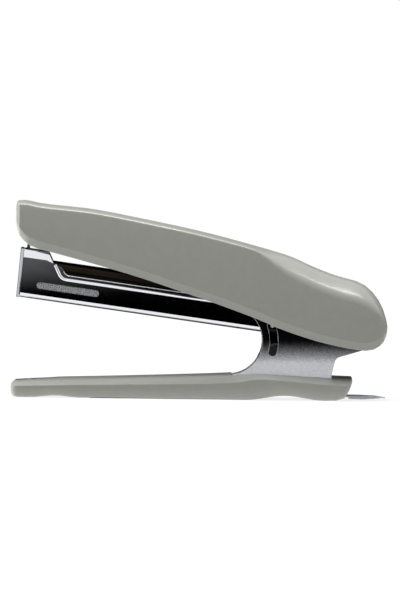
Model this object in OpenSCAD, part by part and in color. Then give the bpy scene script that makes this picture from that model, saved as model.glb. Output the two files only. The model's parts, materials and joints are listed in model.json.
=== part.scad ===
// Long reach desk stapler, standing open at rest.
// The front of the stapler points along -X and +Z is up. Both sides mirror each other across Y = 0,
// apart from the curved slot with its stud and the clip on the axle.
// Every size is in millimetres.

/* [Overall] */
// Length from the front of the base to the tail of the handle
overall_len = 157; // [145:0.5:172]
// Running clearance between pieces that slide or turn past each other
gap = 0.25; // [0.2:0.01:0.3]
// Clearance of a pin in the hole that turns on it
pin_gap = 0.05; // [0.03:0.01:0.08]

/* [Base] */
// How far the tail of the handle stands out behind the base
base_setback = 14.5; // [13.5:0.25:15.5]
// Width of the base at its tail
base_w = 34; // [32:0.5:38]
// How much narrower the base is at its front
base_taper = 3; // [0:0.5:4]
// Rounding of the front and tail ends of the base
base_end_r = 3; // [2:0.25:3.2]
// Depth of the finger hollow under the front of the base
front_hollow = 0.8; // [0.4:0.1:1]
// Depth of the finger hollow under the tail of the base
tail_hollow = 1.8; // [1:0.1:1.9]
// Thickness of the bottom cover
sole_t = 2.6; // [2.4:0.1:2.8]

/* [Pivot] */
// Distance from the tail of the handle to the pivot
pivot_inset = 13.5; // [13:0.25:14.5]
// Height of the pivot above the desk
pivot_h = 29.5; // [29:0.25:30.5]
// Radius of the axle
axle_r = 2.5; // [2:0.1:3]

/* [Frame bracket] */
// Sheet thickness of the frame bracket
frame_t = 1.4; // [1.2:0.1:1.6]
// Radius of the throat
throat_r = 14.15; // [13.5:0.05:14.5]
// Distance from the throat's centre to the pivot
throat_back = 52.7; // [52:0.1:53.5]
// Height of the throat's centre
throat_h = 24.45; // [24.2:0.05:24.8]
// Width of the stop slot
slot_w = 3.3; // [3.2:0.05:3.4]
// Radius of the stop stud that runs in the slot
stop_r = 0.85; // [0.7:0.05:0.9]

/* [Magazine] */
// Upward slope of the magazine at rest, in degrees
mag_angle = 7.6; // [7:0.1:8]
// How far the nose stands back from the front of the base
nose_setback = 1.4; // [1:0.1:2]
// Depth of the magazine's underside below the pivot
mag_drop = 6.4; // [6.3:0.1:6.6]
// Width of the magazine housing
housing_w = 16.4; // [15:0.1:17.6]
// Sheet thickness of the magazine housing
housing_t = 0.9; // [0.8:0.05:1]
// Height of the housing's sides behind the nose
housing_h = 10.6; // [10.2:0.1:10.8]
// Height of the nose
nose_h = 20.8; // [20.2:0.1:21]
// Length of the nose along its top
nose_len = 10.4; // [10:0.1:11]
// Height of the nose's slanted shoulders
shoulder_h = 4.9; // [4:0.1:5.2]
// Sheet thickness of the nose plate
nose_t = 0.8; // [0.6:0.05:1]
// Length of the staple window
window_len = 26.5; // [20:0.5:29]
// Height of the staple window
window_h = 2.8; // [2:0.1:3]

/* [Staples] */
// Side clearance of the staples in their tray
staple_gap = 0.15; // [0.1:0.01:0.2]
// Outside height of a staple
staple_h = 6.3; // [6:0.1:6.5]
// Wire thickness of a staple
wire_t = 0.6; // [0.5:0.05:0.7]
// Length of the strip that is left in the magazine
strip_len = 55; // [45:1:60]

/* [Handle] */
// Width of the handle at its front
handle_front_w = 27; // [26.5:0.5:30]
// Width of the handle at its tail
handle_tail_w = 32; // [31:0.5:34]
// Wall thickness of the handle shell
handle_wall = 2.4; // [2:0.1:2.5]
// Angle that the handle is pressed down to drive a staple, in degrees
press_angle = 4.5; // [4.2:0.1:4.6]
// Upward slope of the driver arm at rest, in degrees
arm_angle = 13; // [12.8:0.1:13.3]
// Sheet thickness of the driver arm
arm_t = 1.2; // [1:0.1:1.4]
// Thickness of the driver blade
blade_t = 0.8; // [0.6:0.05:0.9]
// How much narrower the driver blade is than a staple
blade_play = 0.3; // [0.2:0.1:0.7]

/* [Staple remover] */
// Width of the remover tongue
tongue_w = 12; // [10:0.5:13]
// Sheet thickness of the remover tongue
tongue_t = 0.7; // [0.6:0.05:0.8]
// Length of the tongue that stands out behind the base
tongue_out = 14.5; // [12:0.5:15]
// Travel of the tongue back into the base
tongue_travel = 15; // [12:0.5:15]

/* [Hidden] */
$fn = 64;
x_front = -overall_len / 2;
x_rear = overall_len / 2;
pivot_x = x_rear - pivot_inset;
base_len = overall_len - base_setback;
base_tail = x_front + base_len;
// Distance from the front of the base to the pivot
pivot_d = pivot_x - x_front;
// Distance from the pivot to the front of the nose
mag_reach = pivot_d - nose_setback;
tray_gap = 0.1;
tray_t = 0.6;
staple_w = housing_w - 2 * (housing_t + tray_gap + tray_t + staple_gap);
blade_w = staple_w - blade_play;
// How much smaller a pressed in pin or pad is than its hole, on each side
fit = 0.02;
// How far a cut runs past the face that it opens
past = 1;

// Curves and lofts

// Index of the stretch of a list of [place, value] points that holds place x
function stretch(p, x, i = 0) = i < len(p) - 2 && x > p[i + 1][0] ? stretch(p, x, i + 1) : i;
// Slope of the curve at point i
function slope_at(p, i) =
    let (a = max(i - 1, 0), b = min(i + 1, len(p) - 1)) (p[b][1] - p[a][1]) / (p[b][0] - p[a][0]);
// Smooth curve through the points, straight beyond its ends
function curve(p, x) =
    let (
        n = len(p) - 1,
        i = stretch(p, x),
        h = p[i + 1][0] - p[i][0],
        t = (x - p[i][0]) / h,
        m0 = slope_at(p, i) * h,
        m1 = slope_at(p, i + 1) * h
    )
    x < p[0][0] ? p[0][1] + slope_at(p, 0) * (x - p[0][0])
    : x > p[n][0] ? p[n][1] + slope_at(p, n) * (x - p[n][0])
    : (2 * pow(t, 3) - 3 * t * t + 1) * p[i][1] + (pow(t, 3) - 2 * t * t + t) * m0
        + (3 * t * t - 2 * pow(t, 3)) * p[i + 1][1] + (pow(t, 3) - t * t) * m1;
// Inset of a rounded corner of size a by b, at distance d from the end
function corner(d, a, b, bulge = 2) =
    d >= a ? 0 : b * (1 - pow(1 - pow(1 - max(d, 0) / a, bulge), 1 / bulge));
// Smooth step from 0 to 1 as x goes from a to b
function ease(a, b, x) = let (t = min(max((x - a) / (b - a), 0), 1)) t * t * (3 - 2 * t);
// Places from a to b, close together near both ends
function end_steps(a, b, fine, coarse) =
    let (steps = [0, 0.04, 0.16, 0.36, 0.64, 1], n = round((b - a - 2 * fine) / coarse))
    concat(
        [for (s = steps) a + s * fine],
        [for (i = [1 : n - 1]) a + fine + i * (b - a - 2 * fine) / n],
        [for (i = [5 : -1 : 0]) b - steps[i] * fine]
    );
// A half outline with y >= 0, from its top centre down, closed by its mirror image
function closed_outline(half) =
    concat(half, [for (i = [len(half) - 1 : -1 : 1]) [-half[i][0], half[i][1]]]);

// Solid through outlines in planes of constant x, each given as [x, [[y, z], ...]]
module loft(sections) {
    n = len(sections[0][1]);
    last = len(sections) - 1;
    polyhedron(
        points = [for (s = sections, p = s[1]) [s[0], p[0], p[1]]],
        faces = concat(
            [for (i = [1 : n - 2]) [0, i + 1, i]],
            [for (i = [1 : n - 2]) [last * n, last * n + i, last * n + i + 1]],
            [for (k = [0 : last - 1], i = [0 : n - 1]) [k * n + i, k * n + (i + 1) % n, (k + 1) * n + i]],
            [for (k = [0 : last - 1], i = [0 : n - 1])
                [k * n + (i + 1) % n, (k + 1) * n + (i + 1) % n, (k + 1) * n + i]]
        )
    );
}

// Placing and sheet metal

// Extrudes a side view, drawn in X and Z, to a width across Y
module across(w) { rotate([90, 0, 0]) linear_extrude(w, center = true) children(); }
// The same side view as two cheeks, one on each side
module cheeks(inner_w, t) {
    for (s = [-1, 1]) translate([0, s * (inner_w + t) / 2, 0]) across(t) children();
}
// Pivot frame, tilted front up by an angle
module at_pivot(angle) { translate([pivot_x, 0, pivot_h]) rotate([0, angle, 0]) children(); }
module at_magazine() { at_pivot(mag_angle) children(); }
module at_arm() { at_pivot(arm_angle) children(); }
// Block from one corner to the other
module block(low, high) { translate(low) cube(high - low); }
// Cylinder along Y, centred on the part
module rod_y(r, len) { rotate([90, 0, 0]) cylinder(r = r, h = len, center = true); }
// Flat rounded rectangle from corner to corner, with one radius
module rounded_2d(low, high, r) {
    translate([low[0] + r, low[1]]) square([high[0] - low[0] - 2 * r, high[1] - low[1]]);
    translate([low[0], low[1] + r]) square([high[0] - low[0], high[1] - low[1] - 2 * r]);
    for (x = [low[0] + r, high[0] - r], y = [low[1] + r, high[1] - r]) translate([x, y]) circle(r);
}
// Long slot with round ends
module slot_2d(x0, x1, y, h) {
    translate([x0 + h / 2, y - h / 2]) square([x1 - x0 - h, h]);
    for (x = [x0 + h / 2, x1 - h / 2]) translate([x, y]) circle(h / 2);
}
// Pan head screw that points up, with its head's underside at z = 0
module screw_up(r, len, head_r, head_h) {
    cylinder(r = r, h = len);
    translate([0, 0, -head_h]) cylinder(r = head_r, h = head_h);
}

// Base

// Heights along the base, as [distance from its front, height]
well_front = pivot_d - 51.2;
well_back = pivot_d - 9.3;
base_front_h = 7.2;
base_top_pts = [
    [0, base_front_h], [0.12 * well_front, 8], [0.52 * well_front, 9.2], [0.845 * well_front, 10.3],
    [well_front, 11], [well_front + 7, 11.5], [well_front + 18, 11.1], [well_back - 1, 10.2], [base_len, 9.9]
];
base_edge_pts = [
    [0, 4.8], [0.35 * well_front, 5.6], [0.845 * well_front, 6.6], [well_front + 3, 7.5],
    [well_front + 10, 8.7], [well_front + 21, 8.3], [well_back - 2, 6.8], [base_len, 6.5]
];
base_under = 6;
base_tail_lean = 4;
base_tail_cut = 8;
front_hollow_span = [8, 29];
tail_hollow_span = [well_front + 5.7, well_back - 3.2];
well_half = housing_w / 2 + gap + frame_t + gap;
pocket_span = [32, well_back + 1.3];
pocket_half = well_half + 1.4;
pocket_r = 3;
pocket_roof_front = 5.6;
pocket_roof = 7.4;
web_low = 4.2;
web_top = web_low + frame_t;
boss_r = 3;
boss_h = 5.4;
base_step = 3.6;

// Rise of the underside over a hollow of a given span and depth
function hollow(d, span, depth) =
    let (half = (span[1] - span[0]) / 2, off = abs(d - span[0] - half))
    off >= half ? 0 : depth * (1 + cos(180 * off / half)) / 2;
function base_under_at(d) =
    hollow(d, front_hollow_span, front_hollow) + hollow(d, tail_hollow_span, tail_hollow);
function base_section(x) =
    let (
        d = x - x_front,
        e = base_tail - x,
        round_end = corner(d, base_end_r, base_end_r) + corner(e, base_end_r / 2, base_end_r / 2),
        w = base_w / 2 - base_taper / 2 * (1 - ease(0, base_len, d)) - round_end,
        top = curve(base_top_pts, d) - corner(d, base_end_r, base_end_r * 0.7),
        low = base_under_at(d) + corner(d, base_end_r, base_end_r * 0.7)
            + corner(e, base_tail_lean, base_tail_cut, 1.3),
        edge = max(min(curve(base_edge_pts, d), top - 0.9), low + 0.6),
        under = min(base_under, w / 2)
    )
    [x, closed_outline(concat(
        [for (k = [0 : 5]) let (y = w * k / 5) [y, top - (top - edge) * pow(k / 5, 2.8)]],
        [for (a = [18 : 18 : 90]) [w - under * (1 - cos(a)), edge - (edge - low) * sin(a)]]
    ))];

module base_solid() {
    loft([for (x = end_steps(x_front, base_tail, base_end_r, base_step)) base_section(x)]);
}

module pocket_outline(inset) {
    rounded_2d(
        [x_front + pocket_span[0] + inset, inset - pocket_half],
        [x_front + pocket_span[1] - inset, pocket_half - inset], pocket_r
    );
}

sole_screw_at = [40, pivot_d - 57.5];
sole_screw_span = sole_screw_at[1] - sole_screw_at[0];
sole_head_r = 2.4;
sole_head_h = 1.1;
sole_head_z = 1.3;
frame_screw_at = pivot_d - 58;
frame_screw_off = 6;
frame_boss_r = 2.2;
frame_boss_h = 3;
frame_head_r = 2;
frame_head_h = 1.2;
screw_r = 1.08;
screw_clear = 1.35;
pad_at = [for (f = [0.3, 0.65]) sole_screw_at[0] + f * sole_screw_span];
pad_size = [0.26 * sole_screw_span, 15];
pad_r = 2;
pad_t = 1;
sole_gap = 0.15;
anvil_len = 17;
anvil_w = 15.6;
anvil_t = 1.4;
anvil_r = 2;
anvil_front = 1.9;
anvil_slope = 4.2;
anvil_sunk = 0.1;
anvil_low = 0.3;
anvil_rivet_r = 1.2;
anvil_rivet_h = 2.2;
tongue_low = 1.3;
tongue_play = 0.1;
tongue_slot_h = tongue_t + gap;
tongue_slot_w = tongue_w + 2 * gap;
tongue_mouth_w = tongue_w - 3.6;
tongue_in = 15.5;
tongue_spare = 2.5;
tongue_slot_front = base_len - tongue_in - tongue_travel - tongue_spare;

// Where the front lip of the anvil's recess lies, sloped as the base's top is
module at_anvil() {
    translate([x_front + anvil_front, 0, base_front_h - anvil_low]) rotate([0, -anvil_slope, 0]) children();
}
module anvil_outline(inset) {
    rounded_2d([inset, inset - anvil_w / 2], [anvil_len - inset, anvil_w / 2 - inset], anvil_r);
}

// The sliding slot for the tongue, with lips below it
module tongue_slot() {
    slot_z = tongue_low - tongue_play;
    block([x_front + tongue_slot_front, -tongue_slot_w / 2, slot_z],
        [base_tail + past, tongue_slot_w / 2, slot_z + tongue_slot_h]);
    block([x_front + tongue_slot_front, -tongue_mouth_w / 2, -past],
        [base_tail + past, tongue_mouth_w / 2, tongue_low]);
}

boss_end = 1.8;
frame_boss_end = 0.8;

module base_shell() {
    color("#9a9b93") difference() {
        union() {
            difference() {
                base_solid();
                translate([0, 0, -past]) linear_extrude(pocket_roof_front + past) pocket_outline(0);
                translate([0, 0, -past]) linear_extrude(pocket_roof + past) intersection() {
                    pocket_outline(0);
                    translate([x_front + sole_screw_at[1] - 2 * boss_r, -pocket_half])
                        square([base_len, 2 * pocket_half]);
                }
            }
            for (d = sole_screw_at) translate([x_front + d, 0, sole_t]) cylinder(r = boss_r, h = boss_h);
            at_frame_screws(web_top) cylinder(r = frame_boss_r, h = frame_boss_h);
        }
        block([x_front + well_front, -well_half, -past], [x_front + well_back, well_half, pivot_h]);
        tongue_slot();
        at_anvil() translate([0, 0, -anvil_t]) linear_extrude(4 * anvil_t) anvil_outline(0);
        at_anvil() for (u = anvil_rivet_at) translate([u, 0, -anvil_t - anvil_rivet_h])
            cylinder(r = anvil_rivet_r, h = anvil_rivet_h + past);
        for (d = sole_screw_at) translate([x_front + d, 0, 0])
            cylinder(r = screw_r + fit, h = sole_t + boss_h - boss_end);
        at_frame_screws(web_low) cylinder(r = screw_r + fit, h = frame_t + frame_boss_h - frame_boss_end);
    }
}

module at_frame_screws(z) {
    for (s = [-1, 1]) translate([x_front + frame_screw_at, s * frame_screw_off, z]) children();
}

// Bottom cover, which follows the hollows of the base and bears up on the frame's web
rest_half = 7;
rest_span = [8, 2];
rest_sunk = 0.4;
head_clear = 0.3;
sole_steps = 16;
function sole_d(i) = tail_hollow_span[0] + i / sole_steps * (tail_hollow_span[1] - tail_hollow_span[0]);

module base_sole() {
    color("#4a4b4a") difference() {
        union() {
            intersection() {
                linear_extrude(sole_t) pocket_outline(sole_gap);
                across(2 * pocket_half) polygon(concat(
                    [[x_front + pocket_span[1], 0], [x_front + pocket_span[1], 2 * sole_t],
                        [x_front + pocket_span[0], 2 * sole_t], [x_front + pocket_span[0], 0]],
                    [for (i = [0 : sole_steps]) [x_front + sole_d(i), base_under_at(sole_d(i))]]
                ));
            }
            block([x_front + well_back - rest_span[0], -rest_half, sole_t - rest_sunk],
                [x_front + well_back - rest_span[1], rest_half, web_low]);
        }
        tongue_slot();
        for (d = sole_screw_at) translate([x_front + d, 0, -past]) {
            cylinder(r = screw_clear, h = sole_t + 2 * past);
            cylinder(r = sole_head_r + head_clear, h = sole_head_z + past);
        }
        for (d = pad_at) translate([x_front + d, 0, -past]) linear_extrude(pad_t + past) pad_outline(0);
    }
}

module pad_outline(inset) {
    half = pad_size / 2 - [inset, inset];
    rounded_2d(-half, half, pad_r);
}

module sole_screws() {
    color("#b9b9b4") for (d = sole_screw_at) translate([x_front + d, 0, sole_head_z])
        screw_up(screw_r, sole_t + 2, sole_head_r, sole_head_h);
}

module grip_pads() {
    color("#2b2b2c") for (d = pad_at) translate([x_front + d, 0, 0])
        linear_extrude(pad_t) pad_outline(4 * fit);
}

// Clinching plate, with a pair of hollows that curl the legs inward
anvil_rivet_at = [9.5, 14];
groove_at = 5;
groove_r = 2.2;
groove_w = 1.8;
groove_depth = 0.55;
module anvil_plate() {
    groove_z = groove_r - groove_depth - anvil_sunk;
    color("#c4c5c6") at_anvil() difference() {
        translate([0, 0, -anvil_t]) linear_extrude(anvil_t - anvil_sunk) anvil_outline(4 * fit);
        for (s = [-1, 1]) translate([groove_at, s * staple_w / 4, groove_z]) rotate([0, 90, 0])
            intersection() {
                cylinder(r = groove_r, h = groove_w, center = true);
                rotate([90, 0, 0]) cylinder(r = groove_r, h = 2 * groove_r, center = true);
            }
        for (u = anvil_rivet_at) translate([u, 0, -2 * anvil_t]) cylinder(r = anvil_rivet_r, h = 3 * anvil_t);
    }
}

module anvil_rivets() {
    color("#b2b3b4") at_anvil() for (u = anvil_rivet_at) translate([u, 0, -anvil_t - anvil_rivet_h])
        cylinder(r = anvil_rivet_r - 2 * fit, h = anvil_t + anvil_rivet_h);
}

// Frame bracket

frame_in = housing_w + 2 * gap;
frame_out = frame_in + 2 * frame_t;
throat_x = pivot_x - throat_back;
frame_front = x_front + well_front + gap;
frame_back = x_front + well_back - gap;
web_front = pivot_x - 62.5;
ear_r = 9.1;
neck = [pivot_x - 7.8, pivot_h - 11.8];
neck_r = 3;
ear_slope = 15.5;
slot_r = 19;
slot_low = -14;
slot_high = 20;

foot_h = 10.2;
frame_top = [[-2, 8.7], [-44.9, 7.1]];
throat_cut = [7, 4];
rivet_r = 1.5;

// Direction at an angle above +X
function heading(a) = [cos(a), sin(a)];

// Curved slot in one cheek, round the throat's centre
module stop_slot() {
    translate([throat_x, throat_h]) {
        intersection() {
            difference() {
                circle(slot_r + slot_w / 2);
                circle(slot_r - slot_w / 2);
            }
            polygon([[0, 0], 2 * slot_r * heading(slot_low), 2 * slot_r * heading(slot_high)]);
        }
        for (a = [slot_low, slot_high]) translate(slot_r * heading(a)) circle(slot_w / 2);
    }
}

module frame_side() {
    pivot = [pivot_x, pivot_h];
    back_foot = [frame_back, foot_h];
    rise = neck - back_foot;
    up = rise / norm(rise);
    along_ear = heading(ear_slope);
    half_turn = (180 - acos(up * along_ear)) / 2;
    out = (along_ear - up) / norm(along_ear - up);
    centre = neck + out * neck_r / sin(half_turn);
    difference() {
        union() {
            polygon(concat(
                [[frame_front, web_low], [frame_back, web_low], back_foot],
                [for (a = [162 : -12 : 102]) centre + neck_r * heading(a)],
                [
                    pivot + ear_r * [sin(ear_slope), -cos(ear_slope)], pivot + frame_top[0],
                    pivot + frame_top[1], [frame_front, pivot_h]
                ]
            ));
            translate(pivot) circle(ear_r);
        }
        translate([throat_x, throat_h]) circle(throat_r);
        translate([frame_front - past, throat_h - throat_cut[1]])
            square([throat_x + throat_cut[0] + past - frame_front, pivot_h]);
        translate(pivot) circle(axle_r + fit);
    }
}

module frame_bracket() {
    color("#b4b5b8") difference() {
        union() {
            cheeks(frame_in, frame_t) frame_side();
            block([web_front, -frame_out / 2, web_low], [frame_back, frame_out / 2, web_top]);
        }
        translate([0, -frame_out / 2, 0]) across(3 * frame_t) stop_slot();
        translate([x_front + sole_screw_at[1], 0, 0]) cylinder(r = boss_r + gap, h = 2 * web_low);
        at_frame_screws(0) cylinder(r = screw_clear, h = 2 * web_low);
        translate([lift_rivet_x, 0, 0]) cylinder(r = rivet_r, h = 2 * web_low);
    }
}

module frame_screws() {
    color("#b9b9b4") at_frame_screws(web_low)
        screw_up(screw_r, frame_t + 2, frame_head_r, frame_head_h);
}

// Leaf spring that lifts the magazine off the base
leaf_t = 0.7;
leaf_w = 12;
leaf_r = 9;
leaf_x = pivot_x - 32;
lift_rivet_x = pivot_x - 18;
lift_reach = 12;
lift_tail = 5;
lift_gap = 0.3;

module lift_spring() {
    tip_x = leaf_x + lift_reach;
    tip_z = pivot_h - mag_drop / cos(mag_angle) + (pivot_x - tip_x) * tan(mag_angle) - lift_gap;
    color("#8f9296") difference() {
        across(leaf_w) {
            translate([leaf_x, web_top]) square([lift_rivet_x + lift_tail - leaf_x, leaf_t]);
            translate([leaf_x, web_top + leaf_r]) intersection() {
                difference() {
                    circle(leaf_r);
                    circle(leaf_r - leaf_t);
                }
                translate([-2 * leaf_r, -2 * leaf_r]) square([2 * leaf_r, 4 * leaf_r]);
            }
            polygon([
                [leaf_x, web_top + 2 * leaf_r - leaf_t], [tip_x, tip_z - leaf_t],
                [tip_x, tip_z], [leaf_x, web_top + 2 * leaf_r]
            ]);
        }
        translate([lift_rivet_x, 0, web_low]) cylinder(r = rivet_r, h = 2 * (frame_t + leaf_t));
    }
}

// Cone head of a rivet: its two radii and its height, as shares of the shank's radius
head_share = [1.75, 1.15, 0.5];
module rivet_head(r) {
    cylinder(r1 = head_share[0] * r, r2 = head_share[1] * r, h = head_share[2] * r);
}

module lift_spring_rivet() {
    color("#b9b9b4") translate([lift_rivet_x, 0, web_low]) {
        cylinder(r = rivet_r - fit, h = frame_t + leaf_t);
        translate([0, 0, frame_t + leaf_t]) rivet_head(rivet_r);
    }
}

// Axle

arm_in = frame_out + 2 * gap + 5 * fit;
arm_out = arm_in + 2 * arm_t;
head_r = axle_r + 1.7;
head_taper = 0.5;
head_t = 0.9;
clip_t = 0.8;
clip_r = axle_r + 1.6;
clip_core = axle_r - 0.6;
clip_mouth = 1.8;
clip_play = 0.05;
clip_at = -arm_out / 2 - gap - clip_t;
axle_end = 0.3;

module main_axle() {
    color("#a9abad") at_pivot(0) rotate([90, 0, 0]) difference() {
        union() {
            translate([0, 0, clip_at - axle_end])
                cylinder(r = axle_r, h = arm_out / 2 + gap + 2 * axle_end - clip_at);
            translate([0, 0, arm_out / 2 + gap]) cylinder(r1 = head_r, r2 = head_r - head_taper, h = head_t);
        }
        translate([0, 0, clip_at]) difference() {
            cylinder(r = axle_r + past, h = clip_t);
            translate([0, 0, -past]) cylinder(r = clip_core, h = clip_t + 2 * past);
        }
    }
}

module axle_clip() {
    color("#6d7074") at_pivot(0) rotate([90, 0, 0]) translate([0, 0, clip_at + clip_play]) difference() {
        cylinder(r = clip_r, h = clip_t - 2 * clip_play);
        translate([0, 0, -past]) cylinder(r = clip_core + fit, h = clip_t + 2 * past);
        block([-clip_mouth / 2, -2 * clip_r, -past], [clip_mouth / 2, 0, clip_t + past]);
    }
}

// Staple remover

tongue_front = base_tail - tongue_in;
tongue_tip = base_tail + tongue_out;
tongue_taper = 10.5;
tongue_neck = tongue_tip - tongue_taper;
// Start of the blunt point: its distance from the tip, its half width and how much thinner it is
point_back = 4;
point_half = 3.2;
point_thin = 0.2;
// The tip: its half width, and how far its top and bottom dip below the blade
tip_half = 0.8;
tip_dip = [0.1, 0.5];
keel_play = 0.4;
keel_half = tongue_mouth_w / 2 - keel_play;
keel_lap = 0.2;
keel_top = tongue_low + keel_lap;
// Keel at the base and at the neck: how much narrower its bottom is, and the height of its bottom
keel_lean = [0.6, 0.9];
keel_low = [0.5, 0.35];
// Front end of the keel: its distance from the tip, its half widths and its dip below the blade
keel_end_back = 2;
keel_end_half = [1.2, 0.9];
keel_end_dip = [0.15, 0.5];
tab_back = 1;
tab_len = 6;
tab_low = 0.45;
tab_ribs = 4;
tab_groove = [0.15, 0.4];

// Upright section with one half width at its top and another at its bottom
function trapezoid(top_half, low_half, top, low) =
    [[0, top], [top_half, top], [low_half, low], [-low_half, low], [-top_half, top]];

// Flat blade that narrows to a blunt point, with a keel pressed into its underside
module remover_tongue() {
    low = tongue_low;
    top = tongue_low + tongue_t;
    half = tongue_w / 2;
    color("#c9c9c6") union() {
        block([tongue_front, -half, low], [tongue_neck, half, top]);
        loft([
            [tongue_neck, trapezoid(half, half, top, low)],
            [tongue_tip - point_back, trapezoid(point_half, point_half, top - point_thin, low)],
            [tongue_tip, trapezoid(tip_half, tip_half, low - tip_dip[0], low - tip_dip[1])]
        ]);
        loft([
            [base_tail - past, trapezoid(keel_half, keel_half - keel_lean[0], keel_top, keel_low[0])],
            [tongue_neck + past, trapezoid(keel_half, keel_half - keel_lean[1], keel_top, keel_low[1])],
            [tongue_tip - keel_end_back,
                trapezoid(keel_end_half[0], keel_end_half[1], low - keel_end_dip[0], low - keel_end_dip[1])]
        ]);
    }
}

module remover_tab() {
    color("#4a4b4a") difference() {
        block([tongue_front + tab_back, -keel_half, tab_low],
            [tongue_front + tab_back + tab_len, keel_half, tongue_low]);
        for (i = [1 : tab_ribs])
            translate([tongue_front + tab_back + tab_len * (i - 1 / 2) / tab_ribs, 0, 0])
                translate([0, 0, tab_low - tab_groove[0]]) rod_y(tab_groove[1], tongue_w);
    }
}

// Magazine

blade_gap = 0.3;
blade_reach = mag_reach - nose_t - blade_gap - blade_t / 2;
nose_lean = asin(mag_drop / blade_reach);
mag_low = -mag_drop;
rim = mag_low + housing_h;
nose_top = mag_low + nose_h;
nose_flange = 1.4;
nose_step = 1.4;
nose_seam = 0.15;
nose_slant = 58;
shoulder_tilt = 10;
shoulder_top_r = 1.1;
bend_r = 3;
bend_steps = 6;
fold_r = 2;
staple_front = -blade_reach + blade_t / 2 + 0.4;
tray_w = housing_w - 2 * housing_t - 2 * tray_gap;
tray_in = tray_w - 2 * tray_t;
tray_low = mag_low + housing_t + tray_gap / 2;
tray_floor = tray_low + tray_t;
tray_rim = rim + 1.3;
tray_back = -10;
window_front = -mag_reach + 7.7;
window_level = mag_low + 5.95;
stop_at = [-34.3, mag_low + 3.35];
tray_rivet_at = [-mag_reach + 50, -44];
tray_fold_r = 0.95;
tray_coin_r = 0.6 * staple_gap;
housing_ear = 5.5;
housing_tail = 4;
blade_half = blade_w / 2 + gap;
foot_lip = 0.3;
stud_short = 0.1;
plate_r = 1.7;

// Section of a folded channel, from its floor to its closed top
module channel_2d(w, low, high, r_low, r_top) {
    translate([-w / 2, low + r_low]) square([w, high - low - r_low - r_top]);
    translate([r_low - w / 2, low]) square([w - 2 * r_low, high - low - r_top]);
    translate([r_top - w / 2, low + r_low]) square([w - 2 * r_top, high - low - r_low]);
    for (s = [-1, 1]) {
        translate([s * (w / 2 - r_low), low + r_low]) circle(r_low);
        translate([s * (w / 2 - r_top), high - r_top]) circle(r_top);
    }
}
// The same with shoulders that lean in over a height below the top
module nose_2d(w, low, high, r_low, drop, r_top) {
    half = w / 2;
    top_half = half - (drop - r_top) * tan(shoulder_tilt) - r_top / cos(shoulder_tilt);
    facet_top = [top_half, high - r_top] + r_top * heading(shoulder_tilt);
    translate([-half, low + r_low]) square([w, high - drop - low - r_low]);
    translate([r_low - half, low]) square([w - 2 * r_low, high - drop - low]);
    polygon([
        [-half, high - drop], [half, high - drop], facet_top, [top_half, high],
        [-top_half, high], [-facet_top[0], facet_top[1]]
    ]);
    for (s = [-1, 1]) {
        translate([s * (half - r_low), low + r_low]) circle(r_low);
        translate([s * top_half, high - r_top]) circle(r_top);
    }
}
// Extrudes a cross section, drawn in Y and Z, from u0 to u1 along the magazine
module along(u0, u1) { translate([u0, 0, 0]) rotate([90, 0, 90]) linear_extrude(u1 - u0) children(); }
// Edge that slants down from the nose and bends into the long rim
function notch(start, high, rim_z) =
    let (
        drop = high - rim_z - bend_r * (1 - cos(nose_slant)),
        bend_x = start + drop / tan(nose_slant) + bend_r * sin(nose_slant)
    )
    concat([[start, high]],
        [for (i = [0 : bend_steps]) let (a = nose_slant * (1 - i / bend_steps))
            [bend_x - bend_r * sin(a), rim_z + bend_r * (1 - cos(a))]]);
function nose_back_at(z, start) = start - (z - mag_low) * tan(nose_lean);
shoulder = nose_top - shoulder_h;
nose_back = -mag_reach + nose_len;
shoulder_back = nose_back + shoulder_h / tan(nose_slant);
nose_edge = notch(shoulder_back + nose_step, shoulder, rim);
tray_edge = notch(nose_back + 6.4, shoulder, tray_rim);

module window_cut() {
    across(2 * housing_w) slot_2d(window_front, window_front + window_len, window_level, window_h);
}

// Rolled bead along the edge of the housing
bead_out = 0.35;
bead_h = 1.35;
bead_sunk = 0.1;
bead_back = -throat_back + throat_cut[0] - 3 * gap;
// Slope of the rim at point i, which falls from the nose's slant to nothing
function bead_slope(i) = nose_slant * min(1, 1 - (i - 1) / bend_steps);
module bead_band() {
    polygon(concat(
        nose_edge, [[bead_back, rim], [bead_back, rim - bead_h]],
        [for (i = [len(nose_edge) - 1 : -1 : 0])
            nose_edge[i] - bead_h * [sin(bead_slope(i)), cos(bead_slope(i))]]
    ));
}

// Gate in the nose for the blade: its height below, and the room behind and under the blade above
blade_exit_h = 1.5;
blade_entry = [1.1, 0.6];

module magazine_housing() {
    start = -mag_reach + nose_flange + nose_seam;
    color("#b9bcc2") at_magazine() difference() {
        union() {
            intersection() {
                along(-mag_reach - past, 2 * housing_ear) difference() {
                    nose_2d(housing_w, mag_low, nose_top, fold_r, shoulder_h, shoulder_top_r);
                    nose_2d(housing_w - 2 * housing_t, mag_low + housing_t, nose_top - housing_t,
                        fold_r - housing_t, shoulder_h - housing_t * (1 - tan(shoulder_tilt / 2)),
                        shoulder_top_r - housing_t);
                }
                across(2 * housing_w) {
                    polygon(concat(
                        [
                            [0, rim], [housing_tail, rim - 1], [housing_tail, mag_low],
                            [nose_back_at(mag_low, start), mag_low],
                            [nose_back_at(nose_top, start), nose_top],
                            [nose_back, nose_top], [shoulder_back, shoulder]
                        ],
                        nose_edge
                    ));
                    circle(housing_ear);
                }
            }
            cheeks(housing_w - 2 * bead_sunk, bead_out + bead_sunk) bead_band();
        }
        window_cut();
        rod_y(axle_r + pin_gap, 2 * housing_w);
        stud_hole();
        block([-mag_reach - past, -blade_half, mag_low - past],
            [staple_front, blade_half, mag_low + blade_exit_h]);
        block([-mag_reach - past, -blade_half, shoulder - blade_entry[1]],
            [-blade_reach + blade_entry[0], blade_half, nose_top + past]);
        tray_rivet_holes();
    }
}

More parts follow.
